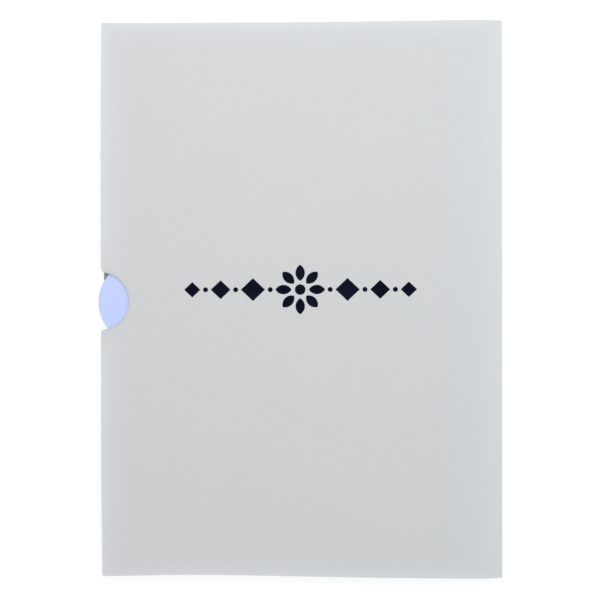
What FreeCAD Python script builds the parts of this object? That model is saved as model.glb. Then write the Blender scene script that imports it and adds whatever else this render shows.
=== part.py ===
"""A pop-up greeting card, closed and lying on its front, seen from its back.

X runs across the card from the open edge to the fold, Y runs up it and Z is its thickness.
The origin is in the middle of the front panel's outer face, and lengths are in millimetres.
"""
import FreeCAD, Part
import math
import os
from collections import namedtuple

Vector = FreeCAD.Vector

# Sheets
CARD_WIDTH = 130.0
CARD_HEIGHT = 180.0
COVER_THICKNESS = 0.40
LINER_THICKNESS = 0.30
NOTE_THICKNESS = 0.30
POPUP_THICKNESS = 0.25
COVER_CORNER_RADIUS = 0.7
LINER_CORNER_RADIUS = 2.0

# Fold of the cover, where its panels slope together to the crease. The bend at the start of a slope
# takes this share of its length.
FOLD_WIDTH = 7.5
CREASE_INNER_RADIUS = 0.12
PANEL_BEND_SHARE = 0.45

# Liner, a little smaller than the cover on its open sides
LINER_SIDE_INSET = 0.95
LINER_END_INSET = 1.2

# Thumb notch through the cover, a bite centred just outside the open edge and just below the middle
NOTCH_RADIUS = 9.34
NOTCH_CENTRE_OUTSIDE = 0.29
NOTCH_DROP = 0.46
NOTCH_LOW_CORNER_RADIUS = 1.1
NOTCH_HIGH_CORNER_RADIUS = 1.9

# Thumb notch through the liner, a little smaller and lower than the cover's
LINER_NOTCH_RADIUS = 8.0
LINER_NOTCH_DROP = 1.95
LINER_NOTCH_CORNER_RADIUS = 1.2

# Pocket behind the back panel, held open on three sides by strips of double-sided tape
POCKET_DEPTH = 0.50
END_TAPE_WIDTH = 5.0
FOLD_TAPE_WIDTH = 3.0
TAPE_INSET = 0.5

# Pull-out note card with a round tab
NOTE_SIDE_INSET = 5.0
NOTE_CLEARANCE = 1.5
NOTE_CORNER_RADIUS = 3.0
TAB_RADIUS = 13.04
TAB_REACH = 0.78
TAB_DROP = 0.78
TAB_ROOT_RADIUS = 2.0

# Pop-up, folded sheets nested in each other that stand up as tents when the card opens. The foot is
# the distance from the liner's crease to the crease of the glued tab, and the leg reaches from there
# to the ridge.
TALL_FOOT = 45.0
TALL_LEG = 66.0
TALL_LENGTH = 150.0
TALL_WINDOW_WIDTH = 15.0
MIDDLE_FOOT = 31.0
MIDDLE_LEG = 49.0
MIDDLE_LENGTH = 118.0
MIDDLE_WINDOW_WIDTH = 13.0
LOW_FOOT = 19.0
LOW_LEG = 32.0
LOW_LENGTH = 86.0
LOW_WINDOW_WIDTH = 11.0
WINDOW_SILL = 10.0
WINDOW_HEAD = 3.0
POPUP_TAB_WIDTH = 8.0
POPUP_LAYER_GAP = 0.05
POPUP_RIDGE_GAP = 0.12
POPUP_CREASE_INNER_RADIUS = 0.03
POPUP_RIDGE_WIDTH = 8.0
POPUP_STEP_RADIUS = 10.0
POPUP_STEP_LENGTH = 3.5
POPUP_STEP_LEAD = 0.5

Tent = namedtuple("Tent", "name foot leg length windows window_width")
TENTS = (
    Tent("popup_tall", TALL_FOOT, TALL_LEG, TALL_LENGTH, 6, TALL_WINDOW_WIDTH),
    Tent("popup_middle", MIDDLE_FOOT, MIDDLE_LEG, MIDDLE_LENGTH, 5, MIDDLE_WINDOW_WIDTH),
    Tent("popup_low", LOW_FOOT, LOW_LEG, LOW_LENGTH, 4, LOW_WINDOW_WIDTH),
)

# Printed ornament on the back, a rosette with a row of lozenges and beads on each side
INK_THICKNESS = 0.04
ORNAMENT_RAISE = 3.2
PETAL_COUNT = 8
PETAL_START = 2.8
PETAL_LENGTH = 5.2
PETAL_HALF_WIDTH = 1.5
ROSETTE_EYE_RADIUS = 1.7
LOZENGE_COUNT = 3
LOZENGE_HALF_LENGTH = 3.9
LOZENGE_HALF_HEIGHT = 3.7
LOZENGE_SHRINK = 0.82
BEAD_RADIUS = 0.8
BEAD_GAP = 0.9

# Heights in the closed card
LINER_FRONT_TOP = COVER_THICKNESS + LINER_THICKNESS
POPUP_LEVEL = POPUP_THICKNESS + POPUP_LAYER_GAP
POPUP_SPACE = 2 * len(TENTS) * POPUP_LEVEL - 2 * POPUP_LAYER_GAP + POPUP_RIDGE_GAP
LINER_BACK_BOTTOM = LINER_FRONT_TOP + POPUP_SPACE
POCKET_BOTTOM = LINER_BACK_BOTTOM + LINER_THICKNESS
POCKET_TOP = POCKET_BOTTOM + POCKET_DEPTH
CARD_THICKNESS = POCKET_TOP + COVER_THICKNESS

# Places across and up the card
OPEN_EDGE = -CARD_WIDTH / 2
FOLD_EDGE = CARD_WIDTH / 2
FOLD_CORNER = FOLD_EDGE - FOLD_WIDTH
LINER_EDGE = OPEN_EDGE + LINER_SIDE_INSET
LINER_HALF_HEIGHT = CARD_HEIGHT / 2 - LINER_END_INSET
TAPE_HALF_HEIGHT = LINER_HALF_HEIGHT - TAPE_INSET
TRIM_MARGIN = 1.0
SAME_POINT = 1e-6

Corner = namedtuple("Corner", "x z radius")
RoundCut = namedtuple("RoundCut", "x y radius low_blend high_blend side")


def moved_corners(corners, shift):
    """Corners of the line that runs beside a bend line, shift to its left, with concentric bends."""
    steps = []
    for here, there in zip(corners, corners[1:]):
        length = math.hypot(there.x - here.x, there.z - here.z)
        steps.append(((there.x - here.x) / length, (there.z - here.z) / length))
    moved = []
    for corner, before, after in zip(corners, steps[:1] + steps, steps + steps[-1:]):
        share = shift / (1 + before[0] * after[0] + before[1] * after[1])
        turn = before[0] * after[1] - before[1] * after[0]
        radius = corner.radius - math.copysign(shift, turn * shift) if corner.radius else 0.0
        x = corner.x - share * (before[1] + after[1])
        z = corner.z + share * (before[0] + after[0])
        moved.append(Corner(x, z, radius))
    return moved


def rounded_edges(corners, y):
    """Straight and round edges along a bend line, in the plane at height y of the card."""
    points = [Vector(corner.x, y, corner.z) for corner in corners]
    edges = []
    start = points[0]
    for before, corner, after, size in zip(points, points[1:], points[2:], corners[1:]):
        inward = (before - corner).normalize()
        outward = (after - corner).normalize()
        half_turn = (math.pi - inward.getAngle(outward)) / 2
        reach = size.radius * math.tan(half_turn)
        first = corner + inward * reach
        last = corner + outward * reach
        bisector = (inward + outward).normalize()
        middle = corner + bisector * (size.radius / math.cos(half_turn) - size.radius)
        if first.distanceToPoint(start) > SAME_POINT:
            edges.append(Part.LineSegment(start, first).toShape())
        edges.append(Part.Arc(first, middle, last).toShape())
        start = last
    edges.append(Part.LineSegment(start, points[-1]).toShape())
    return edges


def bent_sheet(corners, thickness, length):
    """A sheet of even thickness bent along a line, as long as length and centred on the card."""
    y = -length / 2
    left = rounded_edges(moved_corners(corners, thickness / 2), y)
    right = rounded_edges(moved_corners(corners, -thickness / 2), y)
    ends = []
    for end in (0, -1):
        across = (left[end].Vertexes[end].Point, right[end].Vertexes[end].Point)
        ends.append(Part.LineSegment(*across).toShape())
    outline = Part.Wire(Part.sortEdges(left + right + ends)[0])
    return Part.Face(outline).extrude(Vector(0, length, 0))


def closed_over(half, middle):
    """A bend line that goes on as its own reflection at the height middle."""
    return half + [Corner(corner.x, 2 * middle - corner.z, corner.radius) for corner in reversed(half)]


def line(start, end):
    return Part.LineSegment(Vector(*start, 0), Vector(*end, 0)).toShape()


def arc(start, middle, end):
    return Part.Arc(Vector(*start, 0), Vector(*middle, 0), Vector(*end, 0)).toShape()


def plate(edges, bottom, top):
    """A flat plate between two heights, with a ring of edges as its outline."""
    face = Part.Face(Part.Wire(Part.sortEdges(edges)[0]))
    face.translate(Vector(0, 0, bottom))
    return face.extrude(Vector(0, 0, top - bottom))


def box(low_x, high_x, low_y, high_y, bottom, top):
    """A block between two corners."""
    return Part.makeBox(high_x - low_x, high_y - low_y, top - bottom, Vector(low_x, low_y, bottom))


def cut_edge(edge_x, half_length, cut):
    """A straight edge along Y with a round notch or tab in it, both of whose corners are blended.

    The side of the cut is 1 for a notch in a sheet that lies at larger x, and -1 for a tab on it.
    """
    edges = []
    touches = []
    for sign, blend in ((-1, cut.low_blend), (1, cut.high_blend)):
        reach = cut.radius + blend
        from_cut = edge_x + cut.side * blend - cut.x
        rise = math.sqrt(reach ** 2 - from_cut ** 2)
        centre = Vector(from_cut, sign * rise, 0)
        contact = centre * (cut.radius / reach)
        bisector = ((contact - centre).normalize() + Vector(-cut.side, 0, 0)).normalize()
        bend = centre + bisector * blend
        corner = (edge_x, cut.y + sign * rise)
        touches.append((cut.x + contact.x, cut.y + contact.y))
        edges.append(line((edge_x, sign * half_length), corner))
        edges.append(arc(corner, (cut.x + bend.x, cut.y + bend.y), touches[-1]))
    edges.append(arc(touches[0], (cut.x + cut.side * cut.radius, cut.y), touches[1]))
    return edges


def sheet_plan(left, right, half_height, corner_radius, cut, right_radius=0.0):
    """Outline of a sheet seen from above, with round corners and a notch or tab in its left edge."""
    edges = cut_edge(left, half_height - corner_radius, cut)
    edges.append(line((right, right_radius - half_height), (right, half_height - right_radius)))
    for sign in (-1, 1):
        end_y = sign * half_height
        edges.append(line((left + corner_radius, end_y), (right - right_radius, end_y)))
        for edge_x, inward, radius in ((left, 1, corner_radius), (right, -1, right_radius)):
            if radius:
                trim = radius * (1 - math.sqrt(0.5))
                on_side = (edge_x, end_y - sign * radius)
                on_end = (edge_x + inward * radius, end_y)
                edges.append(arc(on_side, (edge_x + inward * trim, end_y - sign * trim), on_end))
    return edges


def trimmed(sheet, plan):
    """What a die with this outline leaves of a folded sheet."""
    return sheet.common(plate(plan, -TRIM_MARGIN, CARD_THICKNESS + TRIM_MARGIN))


def pinched_fold(start, slope_start, crease_x, crease_radius, middle):
    """Bend line of a folded sheet whose halves slope together to a round crease at the height middle.

    The start holds the corners before the fold, the last of them at the level of the flat half. The
    slope starts at a place along X and meets the crease, whose middle line has the crease radius, at
    a tangent.
    """
    flat_level = start[-1].z
    run = abs(crease_x - slope_start)
    rise = middle - flat_level
    to_centre = math.hypot(run - crease_radius, rise)
    slope = math.atan2(rise, run - crease_radius) - math.asin(crease_radius / to_centre)
    bend_reach = PANEL_BEND_SHARE * run / math.cos(slope)
    half = start + [
        Corner(slope_start, flat_level, bend_reach / math.tan(slope / 2)),
        Corner(crease_x, flat_level + run * math.tan(slope), crease_radius),
    ]
    return closed_over(half, middle)


def cover_fold():
    start = [Corner(OPEN_EDGE, COVER_THICKNESS / 2, 0.0)]
    crease_x = FOLD_EDGE - COVER_THICKNESS / 2
    crease_radius = CREASE_INNER_RADIUS + COVER_THICKNESS / 2
    return pinched_fold(start, FOLD_CORNER, crease_x, crease_radius, CARD_THICKNESS / 2)


def panel_end():
    """Where the cover's panels and the pages inside them stop being flat."""
    corner, after = cover_fold()[1:3]
    return corner.x - PANEL_BEND_SHARE * math.hypot(after.x - corner.x, after.z - corner.z)


def liner_fold():
    """Bend line of the liner, whose front page lies on the front panel until it turns at the crease."""
    cover = cover_fold()
    slope = math.atan2(cover[2].z - cover[1].z, cover[2].x - cover[1].x)
    bend = moved_corners(cover, (COVER_THICKNESS + LINER_THICKNESS) / 2)[1]
    middle = (LINER_FRONT_TOP + LINER_BACK_BOTTOM) / 2
    radius = CREASE_INNER_RADIUS + LINER_THICKNESS / 2
    crease_level = middle - radius * math.tan(math.pi / 4 - slope / 2)
    crease_x = bend.x + (crease_level - bend.z) / math.tan(slope)
    half = [Corner(LINER_EDGE, bend.z, 0.0), bend, Corner(crease_x, crease_level, radius)]
    return closed_over(half, middle)


def gutter():
    """Where the liner's crease is, from which the pop-up's places are measured."""
    return liner_fold()[2].x


def make_cover():
    blends = (NOTCH_LOW_CORNER_RADIUS, NOTCH_HIGH_CORNER_RADIUS)
    notch = RoundCut(OPEN_EDGE - NOTCH_CENTRE_OUTSIDE, -NOTCH_DROP, NOTCH_RADIUS, *blends, 1)
    plan = sheet_plan(OPEN_EDGE, FOLD_EDGE + TRIM_MARGIN, CARD_HEIGHT / 2, COVER_CORNER_RADIUS, notch)
    return trimmed(bent_sheet(cover_fold(), COVER_THICKNESS, CARD_HEIGHT), plan)


def make_liner():
    notch_x = OPEN_EDGE - NOTCH_CENTRE_OUTSIDE
    blends = (LINER_NOTCH_CORNER_RADIUS, LINER_NOTCH_CORNER_RADIUS)
    notch = RoundCut(notch_x, -LINER_NOTCH_DROP, LINER_NOTCH_RADIUS, *blends, 1)
    plan = sheet_plan(LINER_EDGE, FOLD_EDGE, LINER_HALF_HEIGHT, LINER_CORNER_RADIUS, notch)
    return trimmed(bent_sheet(liner_fold(), LINER_THICKNESS, 2 * LINER_HALF_HEIGHT), plan)


def fold_tape_span():
    """Where the tape beside the fold starts and ends, on the flat part of the pocket."""
    end = panel_end() - TAPE_INSET
    return end - FOLD_TAPE_WIDTH, end


def make_pocket_tapes():
    """The two end strips run the whole width, and the strip beside the fold lies between them."""
    low_x = LINER_EDGE + TAPE_INSET
    fold_start, fold_end = fold_tape_span()
    inner_y = TAPE_HALF_HEIGHT - END_TAPE_WIDTH
    fold_y = inner_y - TAPE_INSET
    levels = (POCKET_BOTTOM, POCKET_TOP)
    return {
        "pocket_tape_top": box(low_x, fold_end, inner_y, TAPE_HALF_HEIGHT, *levels),
        "pocket_tape_bottom": box(low_x, fold_end, -TAPE_HALF_HEIGHT, -inner_y, *levels),
        "pocket_tape_fold": box(fold_start, fold_end, -fold_y, fold_y, *levels),
    }


def make_note_card():
    """The note card fills the pocket between the tapes and floats halfway up its depth."""
    roots = (TAB_ROOT_RADIUS, TAB_ROOT_RADIUS)
    tab = RoundCut(OPEN_EDGE - TAB_REACH + TAB_RADIUS, -TAB_DROP, TAB_RADIUS, *roots, -1)
    right = fold_tape_span()[0] - NOTE_CLEARANCE
    half_height = TAPE_HALF_HEIGHT - END_TAPE_WIDTH - NOTE_CLEARANCE
    left = OPEN_EDGE + NOTE_SIDE_INSET
    plan = sheet_plan(left, right, half_height, NOTE_CORNER_RADIUS, tab, NOTE_CORNER_RADIUS)
    bottom = (POCKET_BOTTOM + POCKET_TOP - NOTE_THICKNESS) / 2
    return plate(plan, bottom, bottom + NOTE_THICKNESS)


def tent_bend_line(index):
    """Bend line of a tent folded flat, from one glued tab over the ridge to the other.

    It starts flat on the page and steps up one level ahead of each wider tent's tab.
    """
    tent = TENTS[index]
    page_level = LINER_FRONT_TOP + POPUP_THICKNESS / 2
    corners = [Corner(gutter() - tent.foot + POPUP_TAB_WIDTH, page_level, 0.0)]
    for level, wider in enumerate(reversed(TENTS[:index])):
        step_end = gutter() - wider.foot + POPUP_TAB_WIDTH + POPUP_STEP_LEAD
        low = page_level + level * POPUP_LEVEL
        corners.append(Corner(step_end + POPUP_STEP_LENGTH, low, POPUP_STEP_RADIUS))
        corners.append(Corner(step_end, low + POPUP_LEVEL, POPUP_STEP_RADIUS))
    ridge_x = gutter() - tent.foot - tent.leg
    ridge_radius = POPUP_CREASE_INNER_RADIUS + POPUP_THICKNESS / 2
    middle = LINER_FRONT_TOP + POPUP_SPACE / 2
    return pinched_fold(corners, ridge_x + POPUP_RIDGE_WIDTH, ridge_x, ridge_radius, middle)


def window(tent, y):
    """Tool for one arched window through both legs of a tent, its arch towards the ridge."""
    foot_x = gutter() - tent.foot
    radius = tent.window_width / 2
    sill = foot_x - WINDOW_SILL
    spring = foot_x - tent.leg + POPUP_RIDGE_WIDTH + WINDOW_HEAD + radius
    edges = [
        line((sill, y - radius), (sill, y + radius)),
        line((sill, y - radius), (spring, y - radius)),
        line((sill, y + radius), (spring, y + radius)),
        arc((spring, y - radius), (spring - radius, y), (spring, y + radius)),
    ]
    return plate(edges, 0, CARD_THICKNESS)


def make_tents():
    """Each tent with a row of windows spread evenly along it."""
    tents = {}
    for index, tent in enumerate(TENTS):
        pitch = tent.length / tent.windows
        first = (pitch - tent.length) / 2
        windows = [window(tent, first + number * pitch) for number in range(tent.windows)]
        folded = bent_sheet(tent_bend_line(index), POPUP_THICKNESS, tent.length)
        tents[tent.name] = folded.cut(windows)
    return tents


def petal(angle):
    """A lens between two arcs, pointing out from the middle of the rosette."""
    half_way = PETAL_START + PETAL_LENGTH / 2
    inner = (PETAL_START, 0)
    outer = (PETAL_START + PETAL_LENGTH, 0)
    edges = [arc(inner, (half_way, side * PETAL_HALF_WIDTH), outer) for side in (-1, 1)]
    shape = plate(edges, 0, INK_THICKNESS)
    shape.rotate(Vector(0, 0, 0), Vector(0, 0, 1), angle)
    return shape


def lozenge(x, scale):
    half_length = scale * LOZENGE_HALF_LENGTH
    half_height = scale * LOZENGE_HALF_HEIGHT
    points = [(x - half_length, 0), (x, half_height), (x + half_length, 0), (x, -half_height)]
    edges = [line(start, end) for start, end in zip(points, points[1:] + points[:1])]
    return plate(edges, 0, INK_THICKNESS)


def disc(x, radius):
    return Part.makeCylinder(radius, INK_THICKNESS, Vector(x, 0, 0))


def make_ornament():
    """Flat ink shapes laid on the back panel as one group."""
    shapes = [disc(0, ROSETTE_EYE_RADIUS)]
    shapes += [petal(360 * number / PETAL_COUNT) for number in range(PETAL_COUNT)]
    for side in (-1, 1):
        x = PETAL_START + PETAL_LENGTH
        for number in range(LOZENGE_COUNT):
            scale = LOZENGE_SHRINK ** number
            x += BEAD_GAP + BEAD_RADIUS
            shapes.append(disc(side * x, BEAD_RADIUS))
            x += BEAD_RADIUS + BEAD_GAP + scale * LOZENGE_HALF_LENGTH
            shapes.append(lozenge(side * x, scale))
            x += scale * LOZENGE_HALF_LENGTH
    ornament = Part.Compound(shapes)
    ornament.translate(Vector(0, ORNAMENT_RAISE, CARD_THICKNESS))
    return ornament


def make_parts():
    parts = {"cover": make_cover(), "liner": make_liner(), "note_card": make_note_card()}
    parts.update(make_pocket_tapes())
    parts.update(make_tents())
    parts["back_ornament"] = make_ornament()
    return parts


os.makedirs("parts", exist_ok=True)
for name, shape in make_parts().items():
    shape.exportStep(f"parts/{name}.step")
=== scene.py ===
"""A closed pop-up card that lies on its front on a pale floor, seen from above.

X runs across the card from the open edge to the fold, Y runs up it and Z is up. Lengths of the sheets
are given in millimetres and turned into metres where a mesh is made.
"""
import math
from collections import namedtuple

import bpy
from mathutils import Matrix, Vector


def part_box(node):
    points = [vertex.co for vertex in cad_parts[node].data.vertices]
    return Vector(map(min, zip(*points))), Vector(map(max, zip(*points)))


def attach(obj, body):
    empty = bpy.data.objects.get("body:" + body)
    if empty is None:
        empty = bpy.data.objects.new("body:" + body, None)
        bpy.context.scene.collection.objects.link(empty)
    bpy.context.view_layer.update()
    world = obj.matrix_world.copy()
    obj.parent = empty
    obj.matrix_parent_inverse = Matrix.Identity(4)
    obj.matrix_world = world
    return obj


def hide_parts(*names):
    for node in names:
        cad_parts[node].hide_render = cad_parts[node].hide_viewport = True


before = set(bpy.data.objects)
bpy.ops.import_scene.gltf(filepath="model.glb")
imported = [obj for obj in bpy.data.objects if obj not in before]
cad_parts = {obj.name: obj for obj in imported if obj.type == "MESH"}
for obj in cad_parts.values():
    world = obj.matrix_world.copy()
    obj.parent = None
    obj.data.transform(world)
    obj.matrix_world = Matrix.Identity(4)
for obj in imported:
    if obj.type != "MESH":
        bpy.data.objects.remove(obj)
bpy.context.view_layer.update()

MM = 0.001

# The cover, its fold and its thumb notch
CARD_WIDTH = 130.0
CARD_HEIGHT = 180.0
COVER_THICKNESS = 0.40
COVER_CORNER_RADIUS = 0.7
FOLD_WIDTH = 7.5
CREASE_INNER_RADIUS = 0.12
PANEL_BEND_SHARE = 0.45
NOTCH_RADIUS = 9.34
NOTCH_CENTRE_OUTSIDE = 0.29
NOTCH_DROP = 0.46
NOTCH_LOW_CORNER_RADIUS = 1.1
NOTCH_HIGH_CORNER_RADIUS = 1.9

# The darker sheet inside the cover
LINER_THICKNESS = 0.30
LINER_CORNER_RADIUS = 2.0
LINER_SIDE_INSET = 0.95
LINER_END_INSET = 1.2
LINER_NOTCH_RADIUS = 8.0
LINER_NOTCH_DROP = 1.95
LINER_NOTCH_CORNER_RADIUS = 1.2

# The note card and its round tab
NOTE_THICKNESS = 0.30
NOTE_SIDE_INSET = 5.0
NOTE_CORNER_RADIUS = 3.0
TAB_RADIUS = 13.5
TAB_REACH = 0.78
TAB_DROP = 0.78
TAB_ROOT_RADIUS = 2.0

# Slight bows of the cover's cut edges: how far inside the straight edge they are, at places along it
LEFT_BOW = ((-90, 0.22), (-55, 0.0), (0, 0.14), (47, 0.14), (90, 0.51))
TOP_BOW = ((-65, 0.0), (-50, 0.29), (10, 0.57), (65, 0.46))
BOTTOM_BOW = ((-65, 0.0), (-35, 0.62), (40, 0.03), (65, 0.0))

# How finely the sheets are divided: steps of each round stretch, distances of the lines that run beside
# an edge, spacing of the others, and how far those keep from the edge's lines and from other stations
BEND_STEPS = 10
CUT_STEPS = 16
BLEND_STEPS = 8
CORNER_STEPS = 6
EDGE_MARKS = (0.3, 0.9, 2.0, 3.5, 6.0, 10.0, 15.0)
FLAT_SPACING = 9.0
FLAT_END_GAP = 2.0
MARK_GAP = 0.2

# How far into a sheet its columns follow the open end's cut and corners, and the far end's corners
CUT_FADE = 20.0
FAR_END_FADE = 10.0

# The slope under which a run counts as level, and the distance under which two points count as one
LEVEL_SLOPE = 0.01
SAME_PLACE = 1e-4

# The soft rounding of a sheet's cut edge, as a share of its thickness
RIM_SHARE = 0.22
RIM_STEPS = 3

# Reach of the crease's wear and painted light, of the edges' painted light, and where round a cut it
# starts
CREASE_WEAR_AND_LIGHT_WIDTH = 1.1
OPEN_EDGE_LIGHT_REACH = 12.0
FOLD_EDGE_LIGHT_REACH = 18.0
TOP_EDGE_LIGHT_REACH = 8.0
FOOT_EDGE_LIGHT_REACH = 7.0
UNLIT_ROUND_CUT = 0.6
LIT_PAST_CUT = 3.0

OPEN_EDGE = -CARD_WIDTH / 2
FOLD_EDGE = CARD_WIDTH / 2
NOTCH_X = OPEN_EDGE - NOTCH_CENTRE_OUTSIDE
CARD_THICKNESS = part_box("cover")[1].z / MM
LINER_BACK_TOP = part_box("liner")[1].z / MM
NOTE_MIDDLE = (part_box("note_card")[0].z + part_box("note_card")[1].z) / 2 / MM

Corner = namedtuple("Corner", "x z radius")
Station = namedtuple("Station", "x z normal_x normal_z")
Cut = namedtuple("Cut", "x y radius low_blend high_blend side")
Plan = namedtuple("Plan", "left right half_height left_radius right_radius cut")

# Which way a cut in a sheet's open end bulges: into the sheet or out of it
NOTCH_SIDE = 1
TAB_SIDE = -1


def moved_corners(corners, shift):
    """Corners of the line that runs beside a bend line, shift to its left, with concentric bends."""
    steps = []
    for here, there in zip(corners, corners[1:]):
        length = math.hypot(there.x - here.x, there.z - here.z)
        steps.append(((there.x - here.x) / length, (there.z - here.z) / length))
    moved = []
    for corner, before, after in zip(corners, steps[:1] + steps, steps + steps[-1:]):
        share = shift / (1 + before[0] * after[0] + before[1] * after[1])
        turn = before[0] * after[1] - before[1] * after[0]
        radius = corner.radius - math.copysign(shift, turn * shift) if corner.radius else 0.0
        x = corner.x - share * (before[1] + after[1])
        z = corner.z + share * (before[0] + after[0])
        moved.append(Corner(x, z, radius))
    return moved


def closed_over(half, middle):
    """A bend line that goes on as its own reflection at the height middle."""
    return half + [Corner(corner.x, 2 * middle - corner.z, corner.radius) for corner in reversed(half)]


def cover_line():
    """Bend line of the cover, from the front panel's open edge round the fold to the back panel's."""
    flat_level = COVER_THICKNESS / 2
    crease_radius = CREASE_INNER_RADIUS + COVER_THICKNESS / 2
    run = FOLD_WIDTH - flat_level
    rise = CARD_THICKNESS / 2 - flat_level
    to_centre = math.hypot(run - crease_radius, rise)
    slope = math.atan2(rise, run - crease_radius) - math.asin(crease_radius / to_centre)
    bend_reach = PANEL_BEND_SHARE * run / math.cos(slope)
    half = [
        Corner(OPEN_EDGE, flat_level, 0.0),
        Corner(FOLD_EDGE - FOLD_WIDTH, flat_level, bend_reach / math.tan(slope / 2)),
        Corner(FOLD_EDGE - flat_level, flat_level + run * math.tan(slope), crease_radius),
    ]
    return closed_over(half, CARD_THICKNESS / 2)


def liner_line():
    """Bend line of the liner, which lies on the front panel until it turns at its own crease."""
    cover = cover_line()
    slope = math.atan2(cover[2].z - cover[1].z, cover[2].x - cover[1].x)
    bend = moved_corners(cover, (COVER_THICKNESS + LINER_THICKNESS) / 2)[1]
    middle = (COVER_THICKNESS + LINER_BACK_TOP) / 2
    radius = CREASE_INNER_RADIUS + LINER_THICKNESS / 2
    crease_level = middle - radius * math.tan(math.pi / 4 - slope / 2)
    crease_x = bend.x + (crease_level - bend.z) / math.tan(slope)
    open_end = Corner(OPEN_EDGE + LINER_SIDE_INSET, bend.z, 0.0)
    return closed_over([open_end, bend, Corner(crease_x, crease_level, radius)], middle)


def run_stations(start, end, marks):
    """Stations on the straight run between two points, one at each mark if the run is level."""
    direction = (end - start).normalized()
    if abs(direction.y) >= abs(direction.x) * LEVEL_SLOPE:
        return []
    low, high = sorted((start.x, end.x))
    between = [x for x in marks if low + MARK_GAP < x < high - MARK_GAP]
    places = sorted(between, reverse=start.x > end.x)
    return [Station(x, start.y, -direction.y, direction.x) for x in places]


def line_stations(corners, marks):
    """Stations along a bend line with its corners rounded, each with the normal to its left."""
    points = [Vector((corner.x, corner.z)) for corner in corners]
    start = points[0]
    along = (points[1] - start).normalized()
    stations = [Station(start.x, start.y, -along.y, along.x)]
    for before, point, after, corner in zip(points, points[1:], points[2:], corners[1:]):
        inward = (point - before).normalized()
        outward = (after - point).normalized()
        turn = inward.angle_signed(outward)
        reach = corner.radius * math.tan(abs(turn) / 2)
        first = point - inward * reach
        stations += run_stations(start, first, marks)
        side = -1 if turn > 0 else 1
        normal = Vector((-inward.y, inward.x))
        centre = first + normal * corner.radius * side
        joined = (first - start).length < SAME_PLACE
        for step in range(1 if joined else 0, BEND_STEPS + 1):
            turned = Matrix.Rotation(-turn * step / BEND_STEPS, 2) @ normal
            place = centre - turned * corner.radius * side
            stations.append(Station(place.x, place.y, turned.x, turned.y))
        start = point + outward * reach
    end = points[-1]
    along = (end - points[-2]).normalized()
    return stations + run_stations(start, end, marks) + [Station(end.x, end.y, -along.y, along.x)]


def cut_sizes(plan, y):
    """The blended corner of a cut on the side of the height y.

    Its radius, the place of its middle across and from the cut's, and where it meets the cut's arc.
    """
    edge, cut = plan.left, plan.cut
    blend = cut.high_blend if y > cut.y else cut.low_blend
    blend_x = edge + cut.side * blend
    reach = cut.radius + blend
    rise = math.sqrt(reach ** 2 - (blend_x - cut.x) ** 2)
    return blend, blend_x, rise, rise * cut.radius / reach


def left_edge(plan, y):
    """Where a sheet starts at the height y, with its round corners and its notch or tab."""
    from_end = plan.half_height - abs(y)
    if from_end < plan.left_radius:
        over = plan.left_radius - from_end
        return plan.left + plan.left_radius - math.sqrt(max(0.0, plan.left_radius ** 2 - over ** 2))
    blend, blend_x, rise, contact = cut_sizes(plan, y)
    cut = plan.cut
    away = abs(y - cut.y)
    if away < contact:
        return cut.x + cut.side * math.sqrt(cut.radius ** 2 - away ** 2)
    if away < rise:
        return blend_x - cut.side * math.sqrt(blend ** 2 - (rise - away) ** 2)
    return plan.left


def right_edge(plan, y):
    """Where a sheet ends at the height y."""
    over = plan.right_radius - (plan.half_height - abs(y))
    if over <= 0:
        return plan.right
    return plan.right - plan.right_radius + math.sqrt(max(0.0, plan.right_radius ** 2 - over ** 2))


def eased(bow, place):
    """A value that runs smoothly between the given ones."""
    for (start, low), (end, high) in zip(bow, bow[1:]):
        if place <= end:
            share = max(0.0, (place - start) / (end - start))
            return low + (high - low) * share * share * (3 - 2 * share)
    return bow[-1][1]


def bowed(point, plan):
    """A point of the cover moved with its slightly bowed edges."""
    across = (plan.right - point.x) / (plan.right - plan.left)
    up = point.y / plan.half_height
    inset = eased(TOP_BOW, point.x) if up > 0 else -eased(BOTTOM_BOW, point.x)
    return Vector((point.x + eased(LEFT_BOW, point.y) * across, point.y - inset * abs(up), point.z))


def row_heights(plan):
    """Heights of a sheet's rows, close together at its ends, its round corners and its cut."""
    half_height, cut = plan.half_height, plan.cut
    heights = {-half_height, half_height}
    corner = max(plan.left_radius, plan.right_radius)
    for sign in (-1, 1):
        for step in range(1, CORNER_STEPS + 1):
            angle = math.pi / 2 * step / CORNER_STEPS
            heights.add(sign * (half_height - corner + corner * math.cos(angle)))
        heights.update(sign * (half_height - mark) for mark in EDGE_MARKS if mark > corner + MARK_GAP)
        rise, contact = cut_sizes(plan, cut.y + sign)[2:]
        for step in range(BLEND_STEPS):
            share = 1 - math.cos(math.pi / 2 * step / BLEND_STEPS)
            heights.add(cut.y + sign * (contact + (rise - contact) * (1 - share)))
        for step in range(CUT_STEPS + 1):
            angle = math.asin(contact / cut.radius) * step / CUT_STEPS
            heights.add(cut.y + sign * cut.radius * math.sin(angle))
    filled = []
    for low, high in zip(sorted(heights), sorted(heights)[1:]):
        parts = max(1, round((high - low) / FLAT_SPACING))
        filled += [low + (high - low) * part / parts for part in range(parts)]
    filled.append(half_height)
    return [y for y, after in zip(filled, filled[1:]) if after - y > SAME_PLACE] + [half_height]


def sheet_marks(plan):
    """Places across a flat part where the mesh is divided."""
    marks = [plan.left + mark for mark in EDGE_MARKS + (CUT_FADE,)]
    marks += [plan.right - mark for mark in EDGE_MARKS if plan.right_radius]
    x = plan.left + CUT_FADE + FLAT_SPACING
    while x < plan.right - EDGE_MARKS[-1] - FLAT_END_GAP:
        marks.append(x)
        x += FLAT_SPACING
    return marks


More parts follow.
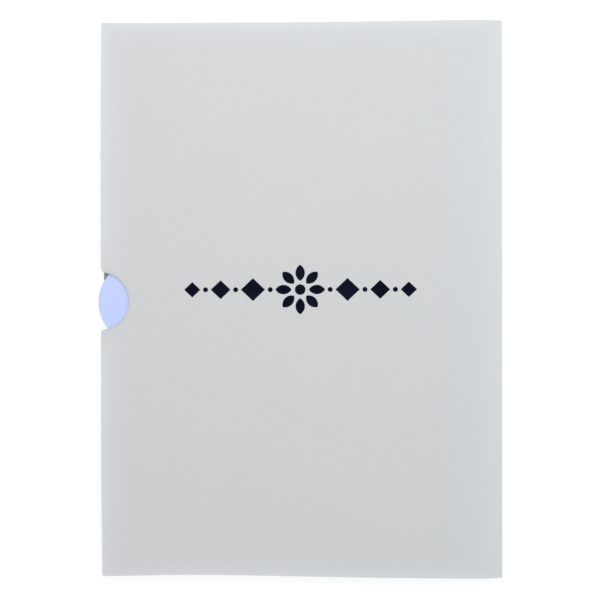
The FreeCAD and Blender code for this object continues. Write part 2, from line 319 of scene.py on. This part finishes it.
def edge_light_share(plan, x, y, from_cut):
    """How much painted light brightens a place near a sheet's straight edges and fold, but not at its
    cut.
    """
    end_reach = TOP_EDGE_LIGHT_REACH if y > 0 else FOOT_EDGE_LIGHT_REACH
    nearness = max(
        1 - (x - plan.left) / OPEN_EDGE_LIGHT_REACH,
        1 - (plan.right - x) / FOLD_EDGE_LIGHT_REACH,
        1 - (plan.half_height - abs(y)) / end_reach,
    )
    past_cut = (from_cut - UNLIT_ROUND_CUT) / (LIT_PAST_CUT - UNLIT_ROUND_CUT)
    return max(0.0, min(1.0, nearness)) ** 2 * max(0.0, min(1.0, past_cut))


def inset_plan(plan, depth):
    """The outline of the flat part of a sheet, inside its rounded rim."""
    cut = plan.cut
    change = cut.side * depth
    blends = (cut.low_blend - change, cut.high_blend - change)
    flat_cut = Cut(cut.x, cut.y, cut.radius + change, *blends, cut.side)
    far_depth = depth if plan.right_radius else 0.0
    left, left_radius = plan.left + depth, plan.left_radius - depth
    right, right_radius = plan.right - far_depth, plan.right_radius - far_depth
    return Plan(left, right, plan.half_height - depth, left_radius, right_radius, flat_cut)


def shortened(corners, depth):
    """A bend line with a length taken off each of its level ends."""
    first, last = corners[0], corners[-1]
    first = first._replace(x=first.x + math.copysign(depth, corners[1].x - first.x))
    last = last._replace(x=last.x + math.copysign(depth, corners[-2].x - last.x))
    return [first] + corners[1:-1] + [last]


def sheet_grid(plan, stations):
    """Middle of a sheet as rows of points along its stations, and the marks of wear and painted light at
    each point.
    """
    rows = []
    marks = {"edge_mm": [], "cut_mm": [], "painted_light": [], "fold": []}
    for y in row_heights(plan):
        start, end = left_edge(plan, y), right_edge(plan, y)
        row = []
        for station in stations:
            x = station.x + (start - plan.left) * max(0.0, 1 - (station.x - plan.left) / CUT_FADE)
            if plan.right_radius:
                x += (end - plan.right) * max(0.0, 1 - (plan.right - station.x) / FAR_END_FADE)
            from_cut = abs(math.hypot(x - plan.cut.x, y - plan.cut.y) - plan.cut.radius)
            row.append(Vector((x, y, station.z)))
            marks["edge_mm"].append(min(x - start, plan.half_height - abs(y)))
            marks["cut_mm"].append(from_cut)
            marks["painted_light"].append(edge_light_share(plan, x, y, from_cut))
            marks["fold"].append(max(0.0, 1 - (plan.right - x) / CREASE_WEAR_AND_LIGHT_WIDTH))
        rows.append(row)
    return rows, marks


def edge_places(rows, columns):
    """Row and column of the points round the edge of a sheet's grid, in order."""
    foot = [(0, column) for column in range(columns)]
    end = [(row, columns - 1) for row in range(1, rows)]
    top = [(rows - 1, column) for column in range(columns - 2, -1, -1)]
    start = [(row, 0) for row in range(rows - 2, 0, -1)]
    return foot + end + top + start


def outward(grid, row, column):
    """The direction that points out of a sheet at a place on the edge of its grid."""
    if row in (0, len(grid) - 1):
        return Vector((0, 1 if row else -1, 0))
    along = grid[row + 1][column] - grid[row - 1][column]
    beside = grid[row][-2 if column else 1]
    side = math.copysign(1, grid[row][column].x - beside.x)
    return Vector((side * along.y, -side * along.x, 0)).normalized()


def rim_profile(thickness, depth):
    """Steps round a rim from the lower face to the upper: how far out and how far above the middle."""
    turns = [math.pi / 2 * step / RIM_STEPS for step in range(1, RIM_STEPS + 1)]
    lower = [(depth * math.sin(turn), depth * (1 - math.cos(turn)) - thickness / 2) for turn in turns]
    return lower + [(out, -level) for out, level in reversed(lower)]


def sheet_points(grid, normals, thickness, profile, edge):
    """Points of a sheet's lower face, its upper face and the rings of its rim, in that order."""
    points = []
    for side in (-1, 1):
        for row in grid:
            points += [point + normal * side * thickness / 2 for point, normal in zip(row, normals)]
    for out, level in profile:
        for row, column in edge:
            points.append(grid[row][column] + outward(grid, row, column) * out + normals[column] * level)
    return points


def surface_quads(rows, columns):
    """Faces of a sheet's two surfaces, each of which looks away from the other."""
    upper_start = rows * columns
    quads = []
    for row in range(rows - 1):
        for column in range(columns - 1):
            a = row * columns + column
            quad = (a, a + 1, a + columns + 1, a + columns)
            quads += [tuple(reversed(quad)), tuple(upper_start + point for point in quad)]
    return quads


def rim_quads(edge, surface_size, ring_count):
    """Faces between the rings round a sheet's rim, from its lower face to its upper."""
    size = len(edge)
    firsts = [2 * surface_size + ring * size for ring in range(ring_count)]
    rings = [edge] + [list(range(first, first + size)) for first in firsts]
    rings.append([surface_size + point for point in edge])
    quads = []
    for lower, upper in zip(rings, rings[1:]):
        quads += zip(lower, lower[1:] + lower[:1], upper[1:] + upper[:1], upper)
    return quads


def sheet_mesh(name, corners, thickness, plan, shaping=None):
    """A folded or flat sheet as one closed mesh with a rounded rim.

    The middle of the rim, where the core shows, is on a second material slot.
    """
    depth = RIM_SHARE * thickness
    flat_plan = inset_plan(plan, depth)
    stations = line_stations(shortened(corners, depth), sheet_marks(flat_plan))
    normals = [Vector((station.normal_x, 0, station.normal_z)) for station in stations]
    grid, marks = sheet_grid(flat_plan, stations)
    rows, columns = len(grid), len(stations)
    places = edge_places(rows, columns)
    edge = [row * columns + column for row, column in places]
    profile = rim_profile(thickness, depth)
    points = sheet_points(grid, normals, thickness, profile, places)
    if shaping:
        points = [shaping(point, plan) for point in points]
    surface = surface_quads(rows, columns)
    rim = rim_quads(edge, rows * columns, len(profile))

    mesh = bpy.data.meshes.new(name)
    mesh.from_pydata([point * MM for point in points], [], surface + rim)
    core_start = len(surface) + RIM_STEPS * len(edge)
    core = range(core_start, core_start + len(edge))
    for index, face in enumerate(mesh.polygons):
        face.use_smooth = True
        face.material_index = 1 if index in core else 0
    sources = 2 * list(range(rows * columns)) + len(profile) * edge
    for label, values in marks.items():
        attribute = mesh.attributes.new(label, "FLOAT", "POINT")
        attribute.data.foreach_set("value", [values[source] for source in sources])
    return mesh


def add_sheet(node, body, corners, thickness, plan, materials, shaping=None):
    """The finished piece that stands for a CAD sheet."""
    mesh = sheet_mesh(node + "_sheet", corners, thickness, plan, shaping)
    piece = bpy.data.objects.new(node + "_sheet", mesh)
    bpy.context.scene.collection.objects.link(piece)
    for material in materials:
        mesh.materials.append(material)
    piece.modifiers.new("flat faces", "WEIGHTED_NORMAL")
    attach(piece, body)
    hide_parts(node)


# Materials

def srgb(red, green, blue):
    """Linear colour of three display values from 0 to 255."""
    values = [channel / 255 for channel in (red, green, blue)]
    return [v / 12.92 if v <= 0.04045 else ((v + 0.055) / 1.055) ** 2.4 for v in values] + [1.0]


def shaded(colour, factor):
    """A colour made lighter or darker."""
    return [min(1.0, channel * factor) for channel in colour[:3]] + [1.0]


Noise = namedtuple("Noise", "scale detail roughness")
Bump = namedtuple("Bump", "strength distance")
Rim = namedtuple("Rim", "follows colour reach")


class Nodes:
    """A material's node tree with short calls for the nodes that paper and ink are made of."""

    def __init__(self, name):
        self.material = bpy.data.materials.new(name)
        self.material.use_nodes = True
        self.tree = self.material.node_tree
        self.shader = self.tree.nodes["Principled BSDF"]
        self.coordinates = self.tree.nodes.new("ShaderNodeTexCoord").outputs["Object"]

    def link(self, source, target):
        self.tree.links.new(source, target)

    def give(self, value, socket):
        """Sets a socket to a constant, or links it to another node's output."""
        if isinstance(value, (int, float, list)):
            socket.default_value = value
        else:
            self.link(value, socket)

    def stretched(self, scale, turn=0.0):
        """Object coordinates turned about Z and then scaled by axis."""
        node = self.tree.nodes.new("ShaderNodeMapping")
        node.inputs["Rotation"].default_value = (0, 0, turn)
        node.inputs["Scale"].default_value = scale
        self.link(self.coordinates, node.inputs["Vector"])
        return node.outputs["Vector"]

    def across(self):
        """The place across the card, from the open edge to the fold."""
        node = self.tree.nodes.new("ShaderNodeSeparateXYZ")
        self.link(self.coordinates, node.inputs["Vector"])
        return node.outputs["X"]

    def attribute(self, name):
        """A value that the mesh holds at its points, or 0 on a mesh without it."""
        node = self.tree.nodes.new("ShaderNodeAttribute")
        node.attribute_name = name
        return node.outputs["Fac"]

    def noise(self, texture, vector=None):
        node = self.tree.nodes.new("ShaderNodeTexNoise")
        node.inputs["Scale"].default_value = texture.scale
        node.inputs["Detail"].default_value = texture.detail
        node.inputs["Roughness"].default_value = texture.roughness
        self.link(vector or self.coordinates, node.inputs["Vector"])
        return node.outputs["Fac"]

    def ranged(self, value, span, result=(0.0, 1.0), smooth=False):
        """A value that goes from one end of the result to the other while it crosses the span."""
        node = self.tree.nodes.new("ShaderNodeMapRange")
        node.interpolation_type = "SMOOTHSTEP" if smooth else "LINEAR"
        for label, number in zip(("From Min", "From Max", "To Min", "To Max"), span + result):
            node.inputs[label].default_value = number
        self.link(value, node.inputs["Value"])
        return node.outputs["Result"]

    def math(self, operation, first, second):
        node = self.tree.nodes.new("ShaderNodeMath")
        node.operation = operation
        self.give(first, node.inputs[0])
        self.give(second, node.inputs[1])
        return node.outputs["Value"]

    def highest(self, first, *others):
        """The highest of several values at each point."""
        for value in others:
            first = self.math("MAXIMUM", first, value)
        return first

    def weighted(self, values, shares):
        """The sum of several values that each count for a share."""
        first, *others = [self.math("MULTIPLY", value, share) for value, share in zip(values, shares)]
        for value in others:
            first = self.math("ADD", first, value)
        return first

    def mix(self, factor, first, second):
        """The first colour where the factor is 0 and the second where it is 1."""
        node = self.tree.nodes.new("ShaderNodeMix")
        node.data_type = "RGBA"
        self.link(factor, node.inputs["Factor"])
        for label, colour in (("A", first), ("B", second)):
            socket = [s for s in node.inputs if s.name == label and s.type == "RGBA"][0]
            self.give(colour, socket)
        return [s for s in node.outputs if s.type == "RGBA"][0]

    def varied(self, factor, colour, variation):
        """A colour a little darker where the factor is 0 and a little lighter where it is 1."""
        return self.mix(factor, shaded(colour, 1 - variation), shaded(colour, 1 + variation))

    def bump(self, height, size, below=None):
        node = self.tree.nodes.new("ShaderNodeBump")
        node.inputs["Strength"].default_value = size.strength
        node.inputs["Distance"].default_value = size.distance
        self.link(height, node.inputs["Height"])
        if below:
            self.link(below, node.inputs["Normal"])
        return node.outputs["Normal"]

    def finish(self, colour, roughness, normal, specular):
        self.link(colour, self.shader.inputs["Base Color"])
        self.link(roughness, self.shader.inputs["Roughness"])
        self.link(normal, self.shader.inputs["Normal"])
        self.shader.inputs["Specular IOR Level"].default_value = specular
        return self.material


# The span that most values of a noise texture lie in, which every material's shine follows
NOISE_MIDDLE = (0.3, 0.7)

# The paper's texture from coarse to fine, how much each part of it counts in the tone, and how much
# the tone varies
CLOUDS = Noise(38.0, 3.0, 0.5)
FORMATION = Noise(560.0, 3.0, 0.5)
GRAIN = Noise(2600.0, 3.0, 0.6)
TONE_SHARES = (0.25, 0.55, 0.2)
TONE_SPAN = (0.36, 0.64)
PAPER_VARIATION = 0.018

# The paper's fibres: how their noise is stretched by axis and turned, in each direction that they take
FIBRES = Noise(1.0, 2.0, 0.5)
FIBRE_DIRECTIONS = (
    ((500, 3800, 3800), 0.35),
    ((3800, 520, 3800), -0.5),
    ((600, 3400, 3400), 2.2),
)
FIBRE_SPAN = (0.62, 0.82)
FIBRE_TINT = 0.10

# The paper's relief and how matt it is
FORMATION_BUMP = Bump(0.35, 0.06 * MM)
GRAIN_BUMP = Bump(0.40, 0.025 * MM)
FIBRE_BUMP = Bump(0.30, 0.02 * MM)
PAPER_ROUGHNESS = (0.74, 0.88)
PAPER_SPECULAR = 0.28

# The paper's wear and painted light: how far in its edges are rubbed in millimetres, how strongly its
# creases are paled by wear and painted light, how the formation breaks the wear up, how strong a rim's
# colour is (the cover's is painted shade), and how far to each side of the card's middle the paler tint
# changes
RUB_REACH = 0.5
CREASE_WEAR_AND_LIGHT = 0.45
BROKEN_SPAN = (0.35, 0.65)
BROKEN_STRENGTH = (0.35, 1.0)
RIM_STRENGTH = 0.8
FOLD_TINT_BLEND = 30 * MM


def fibres(nodes):
    """Long thin streaks that lie across each other, as the fibres of a paper sheet do."""
    return nodes.highest(*[nodes.noise(FIBRES, nodes.stretched(*way)) for way in FIBRE_DIRECTIONS])


def paper(name, colour, wear_and_light, wear_and_light_at_fold=None, painted_light=0.0, rubbed=0.0, rim=None):
    """Uncoated card: cloudy formation, crossing fibres, edges paler where rubbed, and edges and creases
    paler as painted light, the creases also with wear.

    The paler colour of the wear and painted light can be another one towards the fold. A rim names the
    distance that it follows, its colour and how far it reaches in; the cover's rim is painted shade
    along its notch.
    """
    nodes = Nodes(name)
    if wear_and_light_at_fold:
        towards_fold = nodes.ranged(nodes.across(), (-FOLD_TINT_BLEND, FOLD_TINT_BLEND), smooth=True)
        wear_and_light = nodes.mix(towards_fold, wear_and_light, wear_and_light_at_fold)
    texture = [nodes.noise(part) for part in (CLOUDS, FORMATION, GRAIN)]
    formation, grain = texture[1:]
    streaks = fibres(nodes)
    tone = nodes.ranged(nodes.weighted(texture, TONE_SHARES), TONE_SPAN)
    base = nodes.varied(tone, colour, PAPER_VARIATION)
    base = nodes.mix(nodes.ranged(streaks, FIBRE_SPAN, (0.0, FIBRE_TINT)), base, wear_and_light)

    # Painted light: the sheet is paler near its edges and fold, where the mesh marks it
    edge_light = nodes.math("MULTIPLY", nodes.attribute("painted_light"), painted_light)
    rub = nodes.ranged(nodes.attribute("edge_mm"), (0.0, RUB_REACH), (rubbed, 0.0), smooth=True)
    # The crease is paler with wear, and also with painted light that keeps the fold's edge bright
    crease_wear_and_light = nodes.ranged(nodes.attribute("fold"), (0.0, 1.0), (0.0, CREASE_WEAR_AND_LIGHT), smooth=True)
    broken = nodes.ranged(formation, BROKEN_SPAN, BROKEN_STRENGTH)
    wear_and_crease_light = nodes.math("MULTIPLY", nodes.highest(rub, crease_wear_and_light), broken)
    base = nodes.mix(nodes.highest(edge_light, wear_and_crease_light), base, wear_and_light)
    # A rim's colour; the cover's is painted shade along its notch
    if rim:
        nearness = nodes.ranged(nodes.attribute(rim.follows), (0.0, rim.reach), (RIM_STRENGTH, 0.0))
        base = nodes.mix(nearness, base, rim.colour)

    shine = nodes.ranged(grain, NOISE_MIDDLE, PAPER_ROUGHNESS)
    soft = nodes.bump(formation, FORMATION_BUMP)
    fine = nodes.bump(grain, GRAIN_BUMP, soft)
    return nodes.finish(base, shine, nodes.bump(streaks, FIBRE_BUMP, fine), PAPER_SPECULAR)


# The core of the paper: its layers, stretched by axis, and its crumbs
LAYERS = Noise(1.0, 3.0, 0.6)
LAYER_STRETCH = (700, 700, 26000)
CRUMBS = Noise(5200.0, 3.0, 0.6)
CORE_SHARES = (0.6, 0.4)
CORE_SPAN = (0.35, 0.65)
CORE_VARIATION = 0.10
CORE_BUMP = Bump(0.5, 0.03 * MM)
CORE_ROUGHNESS = (0.85, 0.97)
CORE_SPECULAR = 0.2


def cut_edge(name, colour):
    """The core of a sheet where it was cut: rough layers that run along the edge."""
    nodes = Nodes(name)
    layers = nodes.noise(LAYERS, nodes.stretched(LAYER_STRETCH))
    crumbs = nodes.noise(CRUMBS)
    tone = nodes.ranged(nodes.weighted((layers, crumbs), CORE_SHARES), CORE_SPAN)
    shine = nodes.ranged(crumbs, NOISE_MIDDLE, CORE_ROUGHNESS)
    normal = nodes.bump(crumbs, CORE_BUMP, nodes.bump(layers, CORE_BUMP))
    return nodes.finish(nodes.varied(tone, colour, CORE_VARIATION), shine, normal, CORE_SPECULAR)


# Ink: where it is thinner over the fibres' tops and where the press laid less of it, and how strongly
COVERAGE = Noise(1900.0, 4.0, 0.65)
COVERAGE_SPAN = (0.55, 0.8)
COVERAGE_LOSS = 0.55
PRESS = Noise(160.0, 2.0, 0.5)
PRESS_SPAN = (0.4, 0.7)
PRESS_LOSS = 0.25
INK_BUMP = Bump(0.3, 0.02 * MM)
INK_ROUGHNESS = (0.62, 0.78)
INK_SPECULAR = 0.05


def printed_ink(name, colour, thin):
    """Flat near-black ink, a little thinner where the paper's fibres stand up."""
    nodes = Nodes(name)
    coverage = nodes.noise(COVERAGE)
    base = nodes.mix(nodes.ranged(coverage, COVERAGE_SPAN, (0.0, COVERAGE_LOSS)), colour, thin)
    base = nodes.mix(nodes.ranged(nodes.noise(PRESS), PRESS_SPAN, (0.0, PRESS_LOSS)), base, thin)
    shine = nodes.ranged(coverage, NOISE_MIDDLE, INK_ROUGHNESS)
    return nodes.finish(base, shine, nodes.bump(coverage, INK_BUMP), INK_SPECULAR)


# Tape: the lines that its film was drawn in, stretched by axis, and its clouds
DRAWN_LINES = Noise(1.0, 3.0, 0.5)
DRAWN_STRETCH = (60, 2200, 2200)
FILM_CLOUDS = Noise(240.0, 3.0, 0.5)
FILM_DARKEST = 0.93
FILM_LIGHTEST = 1.05
LINE_BUMP = Bump(0.3, 0.03 * MM)
CLOUD_BUMP = Bump(0.3, 0.05 * MM)
FILM_ROUGHNESS = (0.3, 0.48)
FILM_SPECULAR = 0.45


def tape_film(name, colour):
    """Double-sided tape: a cloudy film with faint drawn lines."""
    nodes = Nodes(name)
    lines = nodes.noise(DRAWN_LINES, nodes.stretched(DRAWN_STRETCH))
    clouds = nodes.noise(FILM_CLOUDS)
    base = nodes.mix(clouds, shaded(colour, FILM_DARKEST), shaded(colour, FILM_LIGHTEST))
    shine = nodes.ranged(lines, NOISE_MIDDLE, FILM_ROUGHNESS)
    normal = nodes.bump(lines, LINE_BUMP, nodes.bump(clouds, CLOUD_BUMP))
    return nodes.finish(base, shine, normal, FILM_SPECULAR)


# Colours of the papers, their worn places and painted light, rims and cores, the ink and the tape. A rim
# reaches in by millimetres; the cover's rim is painted shade.
COVER_COLOUR = srgb(210.5, 212, 209.5)
# The cover's paler colour is painted light at its edges and fold, and it also tints its fibres and worn
# crease
COVER_WEAR_AND_LIGHT = srgb(220, 222, 221.2)
COVER_WEAR_AND_LIGHT_AT_FOLD = srgb(217, 221, 219.3)
# A darker bluish band along the cover's notch: painted shade of the cut edge
COVER_NOTCH_SHADE = Rim("cut_mm", srgb(196, 200, 208), 0.85)
COVER_CORE = shaded(COVER_COLOUR, 1.02)
LINER_COLOUR = srgb(145, 146, 151)
LINER_WORN = srgb(160, 161, 166)
LINER_RUB = 0.35
NOTE_COLOUR = srgb(200, 214, 255)
NOTE_WORN = srgb(216, 226, 255)
NOTE_RIM = Rim("edge_mm", srgb(205, 214, 232), 0.55)
NOTE_CORE = shaded(NOTE_COLOUR, 0.9)
WHITE_CARD = srgb(236, 238, 240)
GREY_CARD = srgb(160, 166, 174)
INK_COLOUR = srgb(4, 9, 24)
INK_THIN = srgb(28, 36, 55)
TAPE_COLOUR = srgb(226, 226, 218)


def add_cover():
    """The cover, folded round everything else, with its thumb notch."""
    blends = (NOTCH_LOW_CORNER_RADIUS, NOTCH_HIGH_CORNER_RADIUS)
    notch = Cut(NOTCH_X, -NOTCH_DROP, NOTCH_RADIUS, *blends, NOTCH_SIDE)
    plan = Plan(OPEN_EDGE, FOLD_EDGE, CARD_HEIGHT / 2, COVER_CORNER_RADIUS, 0.0, notch)
    # The cover's edges and fold are paler as painted light, and its notch rim is painted shade
    face = paper("cover_paper", COVER_COLOUR, COVER_WEAR_AND_LIGHT, COVER_WEAR_AND_LIGHT_AT_FOLD, painted_light=1.0, rim=COVER_NOTCH_SHADE)
    materials = (face, cut_edge("cover_cut_edge", COVER_CORE))
    add_sheet("cover", "card", cover_line(), COVER_THICKNESS, plan, materials, bowed)


def add_liner():
    """The darker sheet inside the cover, whose notch shows as a sliver in the cover's."""
    blends = (LINER_NOTCH_CORNER_RADIUS, LINER_NOTCH_CORNER_RADIUS)
    notch = Cut(NOTCH_X, -LINER_NOTCH_DROP, LINER_NOTCH_RADIUS, *blends, NOTCH_SIDE)
    half_height = CARD_HEIGHT / 2 - LINER_END_INSET
    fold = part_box("liner")[1].x / MM
    plan = Plan(OPEN_EDGE + LINER_SIDE_INSET, fold, half_height, LINER_CORNER_RADIUS, 0.0, notch)
    face = paper("liner_paper", LINER_COLOUR, LINER_WORN, rubbed=LINER_RUB)
    materials = (face, cut_edge("liner_cut_edge", LINER_COLOUR))
    add_sheet("liner", "card", liner_line(), LINER_THICKNESS, plan, materials)


def add_note_card():
    """The flat pull-out card with its round tab."""
    far_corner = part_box("note_card")[1]
    left, right = OPEN_EDGE + NOTE_SIDE_INSET, far_corner.x / MM
    tab_x = OPEN_EDGE - TAB_REACH + TAB_RADIUS
    tab = Cut(tab_x, -TAB_DROP, TAB_RADIUS, TAB_ROOT_RADIUS, TAB_ROOT_RADIUS, TAB_SIDE)
    plan = Plan(left, right, far_corner.y / MM, NOTE_CORNER_RADIUS, NOTE_CORNER_RADIUS, tab)
    flat = [Corner(left, NOTE_MIDDLE, 0.0), Corner(right, NOTE_MIDDLE, 0.0)]
    face = paper("note_paper", NOTE_COLOUR, NOTE_WORN, rim=NOTE_RIM)
    materials = (face, cut_edge("note_cut_edge", NOTE_CORE))
    add_sheet("note_card", "note", flat, NOTE_THICKNESS, plan, materials)


def dress_frame():
    """Better materials for the CAD pieces that stay."""
    finishes = {
        "popup_tall": paper("popup_blue_paper", NOTE_COLOUR, NOTE_WORN),
        "popup_middle": paper("popup_white_paper", WHITE_CARD, WHITE_CARD),
        "popup_low": paper("popup_grey_paper", GREY_CARD, WHITE_CARD),
        "back_ornament": printed_ink("ornament_ink", INK_COLOUR, INK_THIN),
    }
    film = tape_film("tape_film", TAPE_COLOUR)
    for name in ("pocket_tape_top", "pocket_tape_bottom", "pocket_tape_fold"):
        finishes[name] = film
    for node, material in finishes.items():
        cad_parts[node].data.materials[0] = material


# Floor, light and camera

# The floor's half size in metres, how far it lies under the card, how much it reflects and glows where
# it is seen, and how much it reflects as light for the card
FLOOR_HALF_SIZE = 3.0
FLOOR_DROP = 0.02 * MM
FLOOR_COLOUR = 0.24
FLOOR_GLOW = 0.81
FLOOR_BOUNCE = 0.75

WORLD_LIGHT = (0.75, 0.75, 0.78)

# Round lamps that aim at the middle of the card, with places and sizes in metres and power in watts
Lamp = namedtuple("Lamp", "name place size power colour")
LAMPS = (
    Lamp("top_lamp", (0.02, 0.17, 0.28), 0.2, 0.29, (0.97, 0.97, 1.0)),
    Lamp("side_lamp", (0.45, 0.05, 0.40), 0.3, 0.20, (0.55, 0.85, 1.0)),
)

# The photo's camera: its lens in millimetres, where its view starts in metres, its place in millimetres
# with its height above the card's back, and its turns in degrees
CAMERA_LENS = 70.0
CAMERA_CLIP_START = 0.01
CAMERA_PLACE = (14.98, 2.41, 376.65)
CAMERA_ROLL = -0.120
CAMERA_PITCH = -0.399
CAMERA_YAW = 2.287


def seen_ray(tree):
    """1 where the camera sees a surface, straight or in a reflection or through glass."""
    path = tree.nodes.new("ShaderNodeLightPath")
    total = path.outputs["Is Camera Ray"]
    for label in ("Is Glossy Ray", "Is Transmission Ray"):
        node = tree.nodes.new("ShaderNodeMath")
        node.operation = "MAXIMUM"
        tree.links.new(total, node.inputs[0])
        tree.links.new(path.outputs[label], node.inputs[1])
        total = node.outputs["Value"]
    return total


def make_floor():
    """A pale floor that shows white and keeps the card's soft shadow."""
    corners = [(-1, -1), (1, -1), (1, 1), (-1, 1)]
    points = [(x * FLOOR_HALF_SIZE, y * FLOOR_HALF_SIZE, 0) for x, y in corners]
    mesh = bpy.data.meshes.new("floor")
    mesh.from_pydata(points, [], [(0, 1, 2, 3)])
    floor = bpy.data.objects.new("floor", mesh)
    floor.location.z = -FLOOR_DROP
    bpy.context.scene.collection.objects.link(floor)
    material = bpy.data.materials.new("floor")
    material.use_nodes = True
    tree = material.node_tree
    tree.nodes.clear()
    shown = tree.nodes.new("ShaderNodeBsdfDiffuse")
    shown.inputs["Color"].default_value = (FLOOR_COLOUR,) * 3 + (1,)
    glow = tree.nodes.new("ShaderNodeEmission")
    glow.inputs["Strength"].default_value = FLOOR_GLOW
    both = tree.nodes.new("ShaderNodeAddShader")
    tree.links.new(shown.outputs[0], both.inputs[0])
    tree.links.new(glow.outputs[0], both.inputs[1])
    bounce = tree.nodes.new("ShaderNodeBsdfDiffuse")
    bounce.inputs["Color"].default_value = (FLOOR_BOUNCE,) * 3 + (1,)
    choice = tree.nodes.new("ShaderNodeMixShader")
    tree.links.new(seen_ray(tree), choice.inputs[0])
    tree.links.new(bounce.outputs[0], choice.inputs[1])
    tree.links.new(both.outputs[0], choice.inputs[2])
    output = tree.nodes.new("ShaderNodeOutputMaterial")
    tree.links.new(choice.outputs[0], output.inputs["Surface"])
    mesh.materials.append(material)


def make_world():
    """Even light from all round, and a white background behind the floor."""
    world = bpy.data.worlds.new("studio")
    bpy.context.scene.world = world
    world.use_nodes = True
    tree = world.node_tree
    tree.nodes.clear()
    light = tree.nodes.new("ShaderNodeBackground")
    light.inputs["Color"].default_value = WORLD_LIGHT + (1,)
    white = tree.nodes.new("ShaderNodeBackground")
    white.inputs["Color"].default_value = (1, 1, 1, 1)
    choice = tree.nodes.new("ShaderNodeMixShader")
    tree.links.new(seen_ray(tree), choice.inputs[0])
    tree.links.new(light.outputs[0], choice.inputs[1])
    tree.links.new(white.outputs[0], choice.inputs[2])
    output = tree.nodes.new("ShaderNodeOutputWorld")
    tree.links.new(choice.outputs[0], output.inputs["Surface"])


def make_lamps():
    """The round lamps, which the camera doesn't see."""
    for lamp in LAMPS:
        data = bpy.data.lights.new(lamp.name, "AREA")
        data.shape = "DISK"
        data.size = lamp.size
        data.energy = lamp.power
        data.color = lamp.colour
        light = bpy.data.objects.new(lamp.name, data)
        light.location = lamp.place
        light.rotation_mode = "QUATERNION"
        light.rotation_quaternion = (-Vector(lamp.place)).to_track_quat("-Z", "Y")
        light.visible_camera = False
        bpy.context.scene.collection.objects.link(light)


def make_camera():
    """The camera of the photo, almost straight above the card."""
    data = bpy.data.cameras.new("camera")
    data.lens = CAMERA_LENS
    data.clip_start = CAMERA_CLIP_START
    camera = bpy.data.objects.new("camera", data)
    x, y, above = CAMERA_PLACE
    place = Matrix.Translation(Vector((x, y, above + CARD_THICKNESS)) * MM)
    roll = Matrix.Rotation(math.radians(CAMERA_ROLL), 4, "Z")
    pitch = Matrix.Rotation(math.radians(CAMERA_PITCH), 4, "X")
    yaw = Matrix.Rotation(math.radians(CAMERA_YAW), 4, "Y")
    camera.matrix_world = place @ roll @ pitch @ yaw
    bpy.context.scene.collection.objects.link(camera)
    bpy.context.scene.camera = camera


add_cover()
add_liner()
add_note_card()
dress_frame()
make_floor()
make_world()
make_lamps()
make_camera()
bpy.context.scene.view_settings.view_transform = "Standard"
